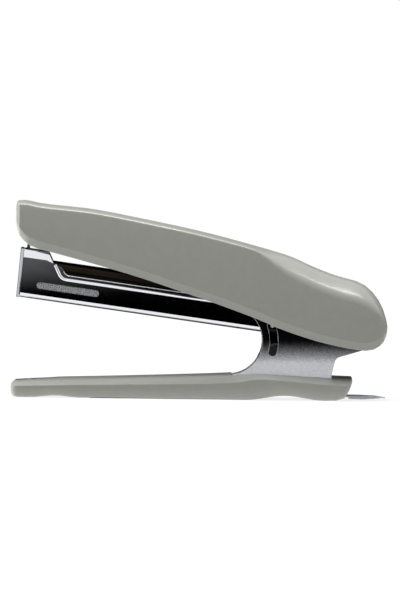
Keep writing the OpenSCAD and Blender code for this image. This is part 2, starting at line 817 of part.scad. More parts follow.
module stud_hole() { translate([stop_at[0], -housing_w / 2, stop_at[1]]) rod_y(stop_r + fit, housing_w / 2); }
module tray_rivet_holes() {
    for (u = tray_rivet_at) translate([u, 0, mag_low - past]) cylinder(r = rivet_r, h = 3 * past);
}

// Front plate that guides the blade, folded back round both sides
module nose_plate() {
    w = housing_w + 2 * bead_sunk;
    flange = nose_flange;
    color("#c3c6cc") at_magazine() translate([-mag_reach, 0, mag_low]) rotate([0, -nose_lean, 0])
        intersection() {
            translate([0, 0, -foot_lip]) linear_extrude(nose_h + foot_lip) difference() {
                rounded_2d([0, -w / 2], [3 * flange, w / 2], plate_r);
                rounded_2d([nose_t, nose_t - w / 2], [4 * flange, w / 2 - nose_t], plate_r - nose_t);
                translate([flange, -w]) square([4 * flange, 2 * w]);
            }
            along(-past, 4 * flange) nose_2d(w, -foot_lip, nose_h, fold_r, shoulder_h, shoulder_top_r);
        }
}

// Lip curled outwards along the edge of the tray, over the housing's rim
tray_lip_out = 0.5;
tray_lip_h = 0.5;
tray_front_gap = 0.2;
tray_lip_back = tray_back - 2;
module tray_lip() {
    last = len(tray_edge) - 1;
    polygon(concat(
        [for (i = [1 : last]) tray_edge[i]],
        [[tray_lip_back, tray_rim], [tray_lip_back, tray_rim - tray_lip_h]],
        [for (i = [last : -1 : 1])
            tray_edge[i] - tray_lip_h * [sin(bead_slope(i)), cos(bead_slope(i))]]
    ));
}

module staple_tray() {
    front = staple_front + tray_front_gap;
    color("#a6a9ae") at_magazine() difference() {
        union() {
            intersection() {
                along(front, tray_back) difference() {
                    channel_2d(tray_w, tray_low, nose_top, tray_fold_r, 1);
                    channel_2d(tray_in, tray_floor, 2 * nose_top, tray_coin_r, 1);
                }
                across(2 * housing_w) polygon(concat(
                    [[tray_back, tray_rim], [tray_back, tray_low], [front, tray_low], [front, shoulder - 1]],
                    [[tray_edge[0][0], shoulder - 1]],
                    [for (i = [1 : len(tray_edge) - 1]) tray_edge[i]]
                ));
            }
            block([front + post_span[0], -post_half, tray_floor - tray_t / 2],
                [front + post_span[1], post_half, rod_level - rod_r]);
            cheeks(tray_w - 2 * bead_sunk, tray_lip_out + bead_sunk) tray_lip();
        }
        window_cut();
        stud_hole();
        tray_rivet_holes();
    }
}

module tray_rivets() {
    color("#b2b3b4") at_magazine() for (u = tray_rivet_at) translate([u, 0, mag_low])
        cylinder(r = rivet_r - fit, h = tray_floor - mag_low);
}

module staple_strip() {
    color("#d2d2cf") at_magazine() translate([0, 0, tray_floor + fit])
        along(staple_front, staple_front + strip_len) difference() {
            translate([-staple_w / 2, 0]) square([staple_w, staple_h]);
            translate([wire_t - staple_w / 2, -past])
                square([staple_w - 2 * wire_t, staple_h - wire_t + past]);
        }
}

// Rod through the staples, held by a post of the tray and by a bracket at its back
rod_r = 1.5;
rod_level = tray_floor + 3;
rod_front = staple_front + 0.6;
post_span = [1.5, 2.8];
post_half = 2.2;
bracket_t = 2;
bracket_h = 6.4;
bracket_back = tray_back - 1;
bracket_half = tray_in / 2 - tray_coin_r - fit;
rod_end = bracket_back + 0.6;
pusher_len = 13;
pusher_front = staple_front + strip_len + 0.1;
pusher_back = pusher_front + pusher_len;
pusher_half = tray_in / 2 - 0.35;
pusher_low = tray_floor + 0.3;
pusher_top = tray_floor + staple_h;
pusher_saddle = [4, 2.5];
saddle_depth = 2;

// Cylinder along the rod's line
module on_rod(from, r, len) { translate([from, 0, rod_level]) rotate([0, 90, 0]) cylinder(r = r, h = len); }

module guide_rod() {
    color("#b9b9b4") at_magazine() on_rod(rod_front, rod_r, rod_end - rod_front);
}

module rod_bracket() {
    front = bracket_back - bracket_t;
    color("#4a4b4a") at_magazine() difference() {
        block([front, -bracket_half, tray_floor], [bracket_back, bracket_half, tray_floor + bracket_h]);
        on_rod(front - past, rod_r + fit, bracket_t + 2 * past);
    }
}

module pusher() {
    color("#34363a") at_magazine() difference() {
        block([pusher_front, -pusher_half, pusher_low], [pusher_back, pusher_half, pusher_top]);
        on_rod(pusher_front - past, rod_r + pin_gap, pusher_len + 2 * past);
        block([pusher_front + pusher_saddle[0], -tray_in, pusher_top - saddle_depth],
            [pusher_back - pusher_saddle[1], tray_in, pusher_top + past]);
    }
}

// Coil spring that drives the pusher forward
coil_r = 2.6;
coil_wire = 0.28;
coil_turns = 12;
coil_rings = 8;
coil_sides = 6;
coil_play = 0.05;
coil_len = bracket_back - bracket_t - pusher_back - 2 * (coil_wire + coil_play);
coil_gap = coil_len / coil_turns - 2 * coil_wire;
echo(coil_gap = coil_gap);

// Point k of ring i of the coil, whose wire leans with the helix
coil_lean = atan(coil_len / coil_turns / (2 * PI * coil_r));
coil_n = coil_turns * coil_rings;
function coil_point(i, k) =
    let (
        t = 360 * i / coil_rings,
        a = 360 * k / coil_sides,
        out = coil_r + coil_wire * cos(a),
        side = coil_wire * sin(a),
        turn = side * sin(coil_lean)
    )
    [
        coil_len * i / coil_n + side * cos(coil_lean),
        out * cos(t) + turn * sin(t),
        out * sin(t) - turn * cos(t)
    ];
// Index of that point
function coil_at(i, k) = i * coil_sides + k % coil_sides;

module pusher_spring() {
    rings = [0 : coil_n - 1];
    sides = [0 : coil_sides - 1];
    color("#c0c2c4") at_magazine() translate([pusher_back + coil_wire + coil_play, 0, rod_level]) polyhedron(
        points = [for (i = [0 : coil_n], k = sides) coil_point(i, k)],
        faces = concat(
            [for (k = [1 : coil_sides - 2]) [0, k, k + 1]],
            [for (k = [1 : coil_sides - 2]) [coil_at(coil_n, 0), coil_at(coil_n, k + 1), coil_at(coil_n, k)]],
            [for (i = rings, k = sides) [coil_at(i, k), coil_at(i + 1, k), coil_at(i, k + 1)]],
            [for (i = rings, k = sides) [coil_at(i, k + 1), coil_at(i + 1, k), coil_at(i + 1, k + 1)]]
        )
    );
}

module stop_stud() {
    inner = tray_in / 2;
    outer = frame_out / 2 - stud_short;
    color("#a9abad") at_magazine() translate([stop_at[0], -(inner + outer) / 2, stop_at[1]])
        rod_y(stop_r, outer - inner);
}

// Cover rail that swings up with the handle for loading

cover_w = tray_in - 2 * gap - 5 * fit;
cover_t = 0.8;
cover_in = cover_w - 2 * cover_t;
cover_top = mag_low + 17;
cover_low = tray_floor + staple_h + 0.8;
cover_front = nose_back + 2.8;
cover_ear = 5;
cover_tail = cover_ear - 0.3;
cover_fold_r = 1.4;
cover_coin_r = 0.6;
ear_lap = 0.5;
bush_wall = 1.6;
small_rivet_r = 1;

module cover_rail() {
    color("#26282d") at_magazine() difference() {
        union() {
            intersection() {
                along(cover_front, cover_ear) difference() {
                    channel_2d(cover_w, -cover_ear - 1, cover_top, 1, cover_fold_r);
                    channel_2d(cover_in, -cover_ear - 2, cover_top - cover_t,
                        cover_coin_r, cover_fold_r - cover_t);
                }
                across(2 * cover_w) polygon([
                    [cover_front, cover_low], [cover_front, cover_top], [cover_ear / 2, cover_top],
                    [cover_tail, cover_ear], [cover_tail, ear_lap], [-cover_tail, ear_lap],
                    [-cover_ear - 2, cover_low]
                ]);
            }
            cheeks(cover_in, cover_t) circle(cover_ear);
        }
        rod_y(axle_r + pin_gap, 2 * cover_w);
        return_rivet_holes();
    }
}

module return_rivet_holes() {
    for (u = return_rivet_at) translate([u, 0, cover_top - 2 * past])
        cylinder(r = small_rivet_r, h = 4 * past);
}

module spacer_bush() {
    color("#d8d4c4") at_pivot(0) difference() {
        rod_y(axle_r + bush_wall, cover_in - 5 * fit);
        rod_y(axle_r + pin_gap, cover_w);
    }
}

// Leaf spring between the cover rail and the driver arm
return_rivet_at = [-17, -24];
return_t = 0.6;
return_w = 9;
return_tip = 4;
return_curl = 0.6;
return_back = return_rivet_at[0] + 4;
return_bend = return_rivet_at[1] - 4;
// Room that is left between the tip of the spring and the head of the arm's rear screw
return_clear = 5.5;
return_gap = 0.35;
arm_rise = 13.4;
arm_screw_at = [-mag_reach + 48.1, -mag_reach + 22.1];
arm_screw_r = 1.28;
arm_head_r = 2.5;
arm_head_h = 1.3;
arm_screw_bite = 4.5;
return_reach = -arm_screw_at[0] - arm_head_r - return_tip - return_clear;

module return_spring() {
    tilt = arm_angle - mag_angle;
    tip_z = return_reach * tan(tilt) + arm_rise / cos(tilt) - return_gap;
    curl_z = tip_z - return_curl;
    color("#8f9296") at_magazine() difference() {
        across(return_w) polygon([
            [return_back, cover_top], [return_back, cover_top + return_t],
            [return_bend, cover_top + return_t], [-return_reach, tip_z], [-return_reach - return_tip, curl_z],
            [-return_reach - return_tip, curl_z - return_t], [-return_reach, tip_z - return_t],
            [return_bend - return_t / 3, cover_top]
        ]);
        return_rivet_holes();
    }
}

// Small rivet with a cone head on the end of its shank
module small_rivet(len) {
    cylinder(r = small_rivet_r - fit, h = len);
    translate([0, 0, len]) rivet_head(small_rivet_r);
}

module return_spring_rivets() {
    color("#b9b9b4") at_magazine() for (u = return_rivet_at) translate([u, 0, cover_top - cover_t])
        small_rivet(cover_t + return_t);
}

// Driver arm and blade

arm_top = arm_rise + arm_t;
arm_front = -mag_reach - 0.4;
arm_step = arm_screw_at[0] + 26;
arm_ear = 6.5;
arm_tail = arm_ear - 0.4;
arm_flange = 3;
// Where the arm's top starts to fall towards its ear, and how high it is there
arm_back = [20.5, 4.5];
nib_w = 14;
nib_flange = 2.2;
blade_angle = mag_angle + press_angle - nose_lean;
blade_tilt = arm_angle - blade_angle;
blade_len = blade_reach * sin(blade_tilt) + arm_rise * cos(blade_tilt);
blade_foot = 9;
blade_rivet_at = [-mag_reach + 6, 3.5];
blade_short = 0.15;
arm_flange_back = 1.5 * arm_flange;

module driver_arm() {
    color("#9a9da1") at_arm() difference() {
        union() {
            intersection() {
                along(arm_step, arm_ear) difference() {
                    translate([-arm_out / 2, -2 * arm_ear]) square([arm_out, arm_top + 2 * arm_ear]);
                    translate([-arm_in / 2, -3 * arm_ear]) square([arm_in, arm_rise + 3 * arm_ear]);
                }
                across(2 * arm_out) {
                    polygon([
                        [arm_step, arm_top], [-arm_back[0], arm_top], [arm_tail, arm_back[1]],
                        [arm_tail, -ear_lap], [-arm_tail, -ear_lap],
                        [-2 * arm_tail, arm_rise - arm_flange_back], [arm_step, arm_rise - arm_flange]
                    ]);
                    circle(arm_ear);
                }
            }
            block([arm_front, -nib_w / 2, arm_rise], [arm_step + 1, nib_w / 2, arm_top]);
            for (s = [-1, 1]) translate([0, s * (nib_w - arm_t) / 2, 0])
                block([cover_front + 6, -arm_t / 2, arm_rise - nib_flange],
                    [arm_step + 1, arm_t / 2, arm_top]);
        }
        rod_y(axle_r + pin_gap, 2 * arm_out);
        for (u = arm_screw_at) translate([u, 0, arm_rise - past]) cylinder(r = rivet_r, h = arm_t + 2 * past);
        at_blade_rivets(arm_rise - past) cylinder(r = small_rivet_r, h = arm_t + 2 * past);
    }
}

module at_blade_rivets(z) {
    for (s = [-1, 1]) translate([blade_rivet_at[0], s * blade_rivet_at[1], z]) children();
}

module driver_blade() {
    foot_front = -blade_reach * cos(blade_tilt) - blade_len * sin(blade_tilt) - blade_t / 2;
    color("#c0c2c4") difference() {
        union() {
            at_pivot(blade_angle) block([-blade_reach - blade_t / 2, -blade_w / 2, 0],
                [-blade_reach + blade_t / 2, blade_w / 2, blade_len - blade_short]);
            at_arm() block([foot_front, -blade_w / 2, arm_rise - blade_t],
                [foot_front + blade_foot, blade_w / 2, arm_rise]);
        }
        at_arm() at_blade_rivets(arm_rise - blade_t - past)
            cylinder(r = small_rivet_r, h = blade_t + 2 * past);
    }
}

module blade_rivets() {
    color("#b2b3b4") at_arm() at_blade_rivets(arm_rise - blade_t) small_rivet(blade_t + arm_t);
}

module arm_screws() {
    color("#b9b9b4") at_arm() for (u = arm_screw_at) translate([u, 0, arm_rise])
        screw_up(arm_screw_r, arm_t + arm_screw_bite, arm_head_r, arm_head_h);
}

// Handle shell

// Heights along the handle, as [share of the way from its front to the pivot, height above the arm's slope]
handle_top_pts = [
    [0, 19.95], [0.028, 21], [0.067, 21.16], [0.109, 21.85], [0.145, 22.55], [0.219, 23.9], [0.331, 24.8],
    [0.543, 25.65], [0.712, 25.1], [0.811, 24.2], [0.878, 22.2], [0.945, 20.9], [1.012, 20.6], [1.093, 20.35]
];
handle_low_pts = [
    [0, 1.66], [0.068, 1.9], [0.231, 1.2], [0.367, 0.17], [0.522, -1.95], [0.602, -3.12], [0.714, -5.25],
    [0.772, -6.76], [0.839, -7.86], [0.91, -8.46], [1.008, -7.92], [1.093, -5.55]
];
handle_setback = 1.7;
handle_front = x_front + handle_setback;
handle_edge_r = 2;
handle_brow_r = 0.6;
handle_chin_r = 9;
handle_tail_r = 4.5;
handle_tail_top = [13, 15.5];
handle_tail_power = 1.9;
handle_tail_low = 9;
handle_front_wall = 1.6;
band_h = 3.3;
band_in = 1.3;
lip_r = 0.4;
// Rounding of the roof at the front, and how much it grows towards the palm rest
crown = [1.6, 5.6];
edge_r = [1.1, 1.5];
inner_crown = [1.6, 2.9];
inner_edge_r = [1, 2.5];
// Middle of the hollow's corner, as shares of its radius
inner_corner = [0.29, 0.1];
edge_steps = 5;
// Length of the finely stepped ends of the shell and of its hollow, and the step between them
shell_steps = [9, 3.8];
hollow_steps = [4, 5];
palm_span = [43.8, 25];
boss_hole_r = 1.3;
boss_hole_spare = 0.5;
handle_tip = 0.05;
handle_boss_r = 3;

function handle_share(x) = (x - handle_front) / (pivot_x - handle_front);
function arm_slope_z(x) = pivot_h + (pivot_x - x) * tan(arm_angle);
function handle_half(x) =
    handle_front_w / 2 + (handle_tail_w - handle_front_w) / 2 * ease(handle_front, pivot_x, x);
function handle_width(x) =
    handle_half(x) - corner(x - handle_front, handle_edge_r, handle_edge_r)
        - corner(x_rear - x, handle_tail_r, handle_tail_r);
function handle_top(x) =
    arm_slope_z(x) + curve(handle_top_pts, handle_share(x))
        - corner(x - handle_front, handle_brow_r, handle_brow_r)
        - corner(x_rear - x, handle_tail_top[0], handle_tail_top[1], handle_tail_power);
function handle_low(x) =
    arm_slope_z(x) + curve(handle_low_pts, handle_share(x))
        + corner(x - handle_front, handle_chin_r, handle_chin_r)
        + corner(x_rear - x, handle_tail_low, handle_tail_low);
function handle_palm(x) = ease(pivot_x - palm_span[0], pivot_x - palm_span[1], x);

function handle_section(x) =
    let (
        w = handle_width(x),
        top = handle_top(x),
        low = handle_low(x),
        tall = top - low,
        palm = handle_palm(x),
        drop = min(crown[0] + crown[1] * palm, tall / 4),
        r = min(edge_r[0] + edge_r[1] * palm, tall / 4),
        band = min(band_h, tall / 5),
        k = (w - r) / w,
        za = top - drop * k * k,
        zb = za - 2 * drop * k / w * r
    )
    [x, closed_outline(concat(
        [for (i = [0 : 4]) [(w - r) * i / 4, top - drop * pow(k * i / 4, 2)]],
        [for (i = [1 : edge_steps]) let (t = i / edge_steps)
            [w - r * pow(1 - t, 2), pow(1 - t, 2) * za + 2 * t * (1 - t) * zb + t * t * (zb - r)]],
        [[w, low + band], [w - band_in, low + lip_r], [w - band_in - lip_r, low]]
    ))];

// Hollow of the shell, open below
function handle_hollow(x) =
    let (
        palm = handle_palm(x),
        w = handle_half(x) - handle_wall - corner(x_rear - x - handle_wall, handle_tail_r, handle_tail_r),
        top = min(handle_top(x), handle_top(x + handle_wall)) - handle_wall,
        low = handle_low(x) - 6 * past,
        drop = inner_crown[0] + inner_crown[1] * palm,
        r = min(inner_edge_r[0] + inner_edge_r[1] * palm, (top - low) / 4)
    )
    [x, closed_outline(concat(
        [for (i = [0 : 3]) [(w - r) * i / 3, top - drop * pow((w - r) / w * i / 3, 2)]],
        [[w - r * inner_corner[0], top - drop - r * inner_corner[1]], [w, top - drop - r], [w, low]]
    ))];

// Height above the driver arm at which a screw boss ends inside the shell's roof
function boss_high(u) =
    let (
        x = pivot_x + u * cos(arm_angle) + arm_top * sin(arm_angle),
        z = pivot_h - u * sin(arm_angle) + arm_top * cos(arm_angle)
    )
    (handle_top(x) - z) * cos(arm_angle) - handle_wall / 2;

module handle_shell() {
    color("#9a9b93") difference() {
        union() {
            difference() {
                loft([for (x = end_steps(handle_front, x_rear - handle_tip, shell_steps[0], shell_steps[1]))
                    handle_section(x)]);
                loft([for (x = end_steps(handle_front + handle_front_wall, x_rear - handle_wall,
                        hollow_steps[0], hollow_steps[1]))
                    handle_hollow(x)]);
            }
            at_arm() for (u = arm_screw_at) translate([u, 0, arm_top])
                cylinder(r = handle_boss_r, h = boss_high(u));
        }
        at_arm() for (u = arm_screw_at) translate([u, 0, arm_top - past])
            cylinder(r = boss_hole_r, h = arm_screw_bite + past + boss_hole_spare);
    }
}

// The part

base_shell();
base_sole();
sole_screws();
grip_pads();
anvil_plate();
anvil_rivets();
frame_bracket();
frame_screws();
lift_spring();
lift_spring_rivet();
main_axle();
axle_clip();
remover_tongue();
remover_tab();
magazine_housing();
nose_plate();
staple_tray();
tray_rivets();
staple_strip();
guide_rod();
rod_bracket();
pusher_spring();
stop_stud();
pusher();
cover_rail();
spacer_bush();
return_spring();
return_spring_rivets();
driver_arm();
driver_blade();
blade_rivets();
arm_screws();
handle_shell();
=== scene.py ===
# %% [markdown]
# # A desk stapler with a long throat, dressed for its photograph
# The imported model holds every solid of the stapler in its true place. This lesson keeps that frame,
# gives the pieces that show their folded edges, ribs and screw slots, paints them with procedural
# finishes and lights them as a small product on a white table.

# %% Load the frame
import json
from math import cos, pi, radians, sin

import bpy
from mathutils import Matrix, Quaternion, Vector


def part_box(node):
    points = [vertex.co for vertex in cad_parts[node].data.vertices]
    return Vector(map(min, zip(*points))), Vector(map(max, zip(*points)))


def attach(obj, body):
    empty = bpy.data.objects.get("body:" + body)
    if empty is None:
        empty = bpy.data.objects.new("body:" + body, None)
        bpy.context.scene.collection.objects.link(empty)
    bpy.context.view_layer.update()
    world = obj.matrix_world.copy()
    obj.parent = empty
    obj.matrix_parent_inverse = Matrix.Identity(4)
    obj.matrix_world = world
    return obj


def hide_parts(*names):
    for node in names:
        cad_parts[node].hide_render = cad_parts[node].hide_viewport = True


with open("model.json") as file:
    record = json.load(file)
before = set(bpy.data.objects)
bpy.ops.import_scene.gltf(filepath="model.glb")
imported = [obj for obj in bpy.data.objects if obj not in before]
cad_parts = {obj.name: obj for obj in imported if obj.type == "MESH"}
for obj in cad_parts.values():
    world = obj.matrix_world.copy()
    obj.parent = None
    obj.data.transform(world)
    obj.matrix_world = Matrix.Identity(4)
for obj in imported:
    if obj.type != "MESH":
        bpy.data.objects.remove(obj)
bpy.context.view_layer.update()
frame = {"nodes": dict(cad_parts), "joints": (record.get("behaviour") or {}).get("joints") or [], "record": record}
nodes = frame["nodes"]
joints = {j["name"]: j for j in frame["joints"]}
body_of = {n: b for b, group in frame["record"]["behaviour"]["bodies"].items() for n in group}
slot_of = {s["node"]: s["material_slot"] for s in frame["record"]["subparts"]}
MM = 0.001

# %% [markdown]
# ## Helpers for working by hand
# Most operators act on whatever is selected, so each step starts by selecting one object alone.
# Faces are then picked in code, by their place or by the way they point.

# %% Selecting and finishing
def pick(piece):
    """Leaves this piece alone selected and active, in object mode."""
    if bpy.context.mode != "OBJECT":
        bpy.ops.object.mode_set(mode="OBJECT")
    bpy.ops.object.select_all(action="DESELECT")
    piece.select_set(True)
    bpy.context.view_layer.objects.active = piece


FACING = 0.9  # a face looks along an axis when this much of its normal does


def open_faces(piece, test):
    """Opens a piece in edit mode, with the faces selected whose centre and normal pass a test."""
    pick(piece)
    bpy.ops.object.mode_set(mode="EDIT")
    bpy.ops.mesh.select_mode(type="FACE")
    bpy.ops.mesh.select_all(action="DESELECT")
    bpy.ops.object.mode_set(mode="OBJECT")
    for face in piece.data.polygons:
        face.select = test(face.center, face.normal)
    bpy.ops.object.mode_set(mode="EDIT")


def apply_modifier(piece, kind, **settings):
    """Adds one modifier with its settings and applies it at once."""
    pick(piece)
    step = piece.modifiers.new(kind.lower(), kind)
    for name, value in settings.items():
        setattr(step, name, value)
    bpy.ops.object.modifier_apply(modifier=step.name)


def smooth(piece, angle):
    """Rounds the shading over edges flatter than this angle, in degrees."""
    pick(piece)
    bpy.ops.object.shade_smooth_by_angle(angle=radians(angle))


def fit_to_body(piece, node):
    """The piece stands for this solid and moves with its body."""
    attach(piece, body_of[node])
    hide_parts(node)
    piece.data.materials.clear()
    piece.data.materials.append(finishes[slot_of[node]])


print("helpers ready")

# %% [markdown]
# ## The camera
# The photograph looks straight at the stapler's side with a long lens, about one degree from above, and
# the object leans a little to the right in the frame. A long lens far away keeps the two sides parallel.

# %% Camera
# Height of the picture at the stapler and the camera's distance, in metres
PICTURE_H = 0.252
CAMERA_AWAY = 1.6
CAMERA_UP = radians(1.0)
CAMERA_ROLL = radians(0.67)
AIM = Vector((0.0002, 0, 0.0412))

camera = bpy.data.objects.new("photo_camera", bpy.data.cameras.new("photo_camera"))
bpy.context.scene.collection.objects.link(camera)
camera.data.sensor_fit = "VERTICAL"
camera.data.sensor_height = 36
camera.data.lens = camera.data.sensor_height * CAMERA_AWAY / PICTURE_H
camera.location = AIM + CAMERA_AWAY * Vector((0, -cos(CAMERA_UP), sin(CAMERA_UP)))
look = (AIM - camera.location).to_track_quat("-Z", "Y")
camera.rotation_euler = (look @ Quaternion((0, 0, 1), CAMERA_ROLL)).to_euler()
bpy.context.scene.camera = camera
print("lens", round(camera.data.lens), "mm")

# %% [markdown]
# ## Shared surface effects
# Four effects turn up in several finishes, so each is a node group. All of them read Object coordinates,
# which stay with a piece as it swings. `mottle` is the faint cloudiness of a moulding or a casting,
# `drawn_lines` the hairlines that rolling and drawing leave in sheet metal, `handling` the duller
# patches that fingers leave, and `worn_edges` finds the edges, where a finish rubs off first.

# %% Node helpers
def new_group(title, inputs, outputs=("Mask",)):
    """A node group with number inputs, given with their starting values, and mask outputs."""
    group = bpy.data.node_groups.new(title, "ShaderNodeTree")
    for name, value in inputs.items():
        socket = group.interface.new_socket(name=name, in_out="INPUT", socket_type="NodeSocketFloat")
        socket.default_value = value
    for name in outputs:
        group.interface.new_socket(name=name, in_out="OUTPUT", socket_type="NodeSocketFloat")
    return group, add(group, "NodeGroupInput"), add(group, "NodeGroupOutput")


def add(tree, kind, **sockets):
    """A node whose inputs are set to plain values or linked to other nodes' outputs."""
    node = tree.nodes.new(kind if kind.startswith("NodeGroup") else "ShaderNode" + kind)
    feed(tree, node, **sockets)
    return node


def feed(tree, node, **sockets):
    """Sets or links inputs by name, with _ for a space."""
    for name, value in sockets.items():
        socket = node.inputs[int(name[1:]) if name[1:].isdigit() else name.replace("_", " ")]
        if isinstance(value, bpy.types.NodeSocket):
            tree.links.new(value, socket)
        else:
            socket.default_value = value


def ramp(tree, value, low, high, to_low=0.0, to_high=1.0):
    """The value stretched so that low to high become to_low to to_high."""
    node = add(tree, "MapRange", Value=value, From_Min=low, From_Max=high, To_Min=to_low, To_Max=to_high)
    return node.outputs["Result"]


def number(tree, operation, first, second):
    """Two numbers made one by an operation."""
    node = add(tree, "Math", _0=first, _1=second)
    node.operation = operation
    return node.outputs["Value"]


def object_place(tree):
    """Where a point lies on its own piece."""
    return add(tree, "TexCoord").outputs["Object"]


print("node helpers ready")

# %% [markdown]
# ### Cloudiness and handling
# A moulding is never quite one colour, and fingers leave duller patches on everything. Painted maps could
# show both, but a noise texture needs no image and covers any piece at the same real scale.

# %% Mottle and handling
mottle, inside, outside = new_group("mottle", {"Scale": 400.0, "Detail": 4.0})
clouds = add(mottle, "TexNoise", Vector=object_place(mottle), Scale=inside.outputs["Scale"],
             Detail=inside.outputs["Detail"], Roughness=0.6)
feed(mottle, outside, Mask=ramp(mottle, clouds.outputs["Fac"], low=0.3, high=0.7))

handling, inside, outside = new_group("handling", {"Scale": 45.0})
patches = add(handling, "TexNoise", Vector=object_place(handling), Scale=inside.outputs["Scale"],
              Detail=3.0, Roughness=0.5, Distortion=0.6)
feed(handling, outside, Mask=ramp(handling, patches.outputs["Fac"], low=0.42, high=0.68))
print("groups:", mottle.name, handling.name)

# %% [markdown]
# ### Drawn lines
# Rolling and drawing leave hairlines along a sheet. A wave texture would give even stripes, so noise is
# pulled out along one axis instead, which gives hairs of uneven length. The first mapping turns a sloping
# piece level, and the second pulls.

# %% Drawn lines
drawn_lines, inside, outside = new_group("drawn_lines", {"Scale": 900.0, "Stretch": 0.03, "Tilt": 0.0})
turn = add(drawn_lines, "CombineXYZ", Y=inside.outputs["Tilt"])
along = add(drawn_lines, "CombineXYZ", X=inside.outputs["Stretch"], Y=1.0, Z=1.0)
laid = add(drawn_lines, "Mapping", Vector=object_place(drawn_lines), Rotation=turn.outputs["Vector"])
pulled = add(drawn_lines, "Mapping", Vector=laid.outputs["Vector"], Scale=along.outputs["Vector"])
hairs = add(drawn_lines, "TexNoise", Vector=pulled.outputs["Vector"], Scale=inside.outputs["Scale"],
            Detail=5.0, Roughness=0.65)
feed(drawn_lines, outside, Mask=ramp(drawn_lines, hairs.outputs["Fac"], low=0.32, high=0.68))
print("group:", drawn_lines.name)

# %% [markdown]
# ### Worn edges
# A finish wears through first along its edges. Pointiness could find them, but it depends on how fine the
# mesh is. The Bevel node rounds the normal near an edge of any mesh, and where that differs from the true
# normal there is an edge of a known width. A coarse noise then breaks the line up.

# %% Worn edges
worn_edges, inside, outside = new_group("worn_edges", {"Width": 0.4 * MM, "Breaks": 700.0})
rounded = add(worn_edges, "Bevel", Radius=inside.outputs["Width"])
true_normal = add(worn_edges, "NewGeometry").outputs["Normal"]
agree = add(worn_edges, "VectorMath", _0=rounded.outputs["Normal"], _1=true_normal)
agree.operation = "DOT_PRODUCT"
edge = ramp(worn_edges, agree.outputs["Value"], low=0.98, high=0.84)
breaks = add(worn_edges, "TexNoise", Vector=object_place(worn_edges), Scale=inside.outputs["Breaks"],
             Detail=3.0)
kept = ramp(worn_edges, breaks.outputs["Fac"], low=0.25, high=0.5)
feed(worn_edges, outside, Mask=number(worn_edges, "MULTIPLY", edge, kept))
print("group:", worn_edges.name)

# %% [markdown]
# ## Finishes
# Each finish starts from one shader. A finish says only what varies over the surface: two or three
# close colours mixed by a mask, a roughness that follows another mask, and a very shallow bump.

# %% Finish helpers
def srgb(*levels):
    """A screen colour, 0 to 255, turned into the linear values that a shader takes."""
    shares = [v / 255 for v in levels]
    return tuple(v / 12.92 if v < 0.04 else ((v + 0.055) / 1.055) ** 2.4 for v in shares) + (1.0,)


def new_finish(slot, **sockets):
    """A material for one of the record's slots, with its plain values set on the shader itself."""
    material = bpy.data.materials.new(slot)
    material.use_nodes = True
    tree = material.node_tree
    shader = tree.nodes["Principled BSDF"]
    feed(tree, shader, **sockets)
    finishes[slot] = material
    return tree, shader


def mask(tree, group, **values):
    """One of the shared effects with this finish's own values."""
    node = tree.nodes.new("ShaderNodeGroup")
    node.node_tree = group
    feed(tree, node, **values)
    return node.outputs["Mask"]


def blend(tree, factor, low, high):
    """One colour that turns into another where the mask is 1."""
    node = tree.nodes.new("ShaderNodeMix")
    node.data_type = "RGBA"
    feed(tree, node, _0=factor, _6=low, _7=high)
    return node.outputs[2]


def shallow(tree, height, strength, depth):
    """A bump of this depth in metres."""
    return add(tree, "Bump", Height=height, Strength=strength, Distance=depth).outputs["Normal"]


finishes = {}
print("finish helpers ready")

# %% [markdown]
# ### Grey shell plastic
# The handle and base are one warm grey, moulded with a satin polish. One flat colour would look painted,
# but the photograph shows it almost even, so the mottle is faint and the edges are only a touch paler.

# %% Grey plastic
tree, shader = new_finish("grey_plastic", IOR=1.5, Specular_IOR_Level=0.45)
body_colour = blend(tree, mask(tree, mottle, Scale=260.0), srgb(153, 154, 147), srgb(157, 158, 151))
rubbed = mask(tree, worn_edges, Width=0.5 * MM)
feed(tree, shader,
     Base_Color=blend(tree, rubbed, body_colour, srgb(163, 164, 157)),
     Roughness=ramp(tree, mask(tree, handling), 0, 1, 0.285, 0.31),
     Normal=shallow(tree, mask(tree, mottle, Scale=2600.0, Detail=2.0), strength=0.05, depth=0.02 * MM))
print("grey_plastic")

# %% [markdown]
# ### Dark plastic, nylon and rubber
# The bottom cover and the small clips are dark plastic, the bush is off-white nylon and the pads are
# rubber. Three recipes could be written, but they differ only in colour, gloss and grain, so they share one.

# %% Dull mouldings
CLOUD = 6  # a cloud of colour is this many grains wide
SCUFF, SCUFF_LIFT = 1.5, 0.01  # how much paler the edges rub
POLISHED, HANDLED = -0.06, 0.05  # roughness where untouched and where handled


def moulded(slot, low, high, dull, grain, depth):
    """A moulded finish between two close colours, with its grain as a bump."""
    tree, shader = new_finish(slot)
    base = blend(tree, mask(tree, mottle, Scale=grain / CLOUD), low, high)
    scuffed = tuple(min(1.0, SCUFF * v + SCUFF_LIFT) for v in high[:3]) + (1.0,)
    feed(tree, shader,
         Base_Color=blend(tree, mask(tree, worn_edges), base, scuffed),
         Roughness=ramp(tree, mask(tree, handling), 0, 1, dull + POLISHED, dull + HANDLED),
         Normal=shallow(tree, mask(tree, mottle, Scale=grain), strength=0.35, depth=depth))
    print(slot)


moulded("dark_plastic", srgb(52, 53, 54), srgb(60, 61, 62), dull=0.5, grain=2200.0, depth=0.03 * MM)
moulded("nylon", srgb(214, 208, 190), srgb(222, 217, 201), dull=0.45, grain=1500.0, depth=0.02 * MM)
moulded("rubber", srgb(36, 36, 37), srgb(46, 46, 46), dull=0.8, grain=2600.0, depth=0.06 * MM)

# %% [markdown]
# ### A recipe for sheet metal
# All the metal here is drawn wire or rolled sheet, so one recipe serves: a mirror with hairlines along it and
# bare edges. An anisotropic shader could smear the highlights instead, but hairlines also hold from close by.

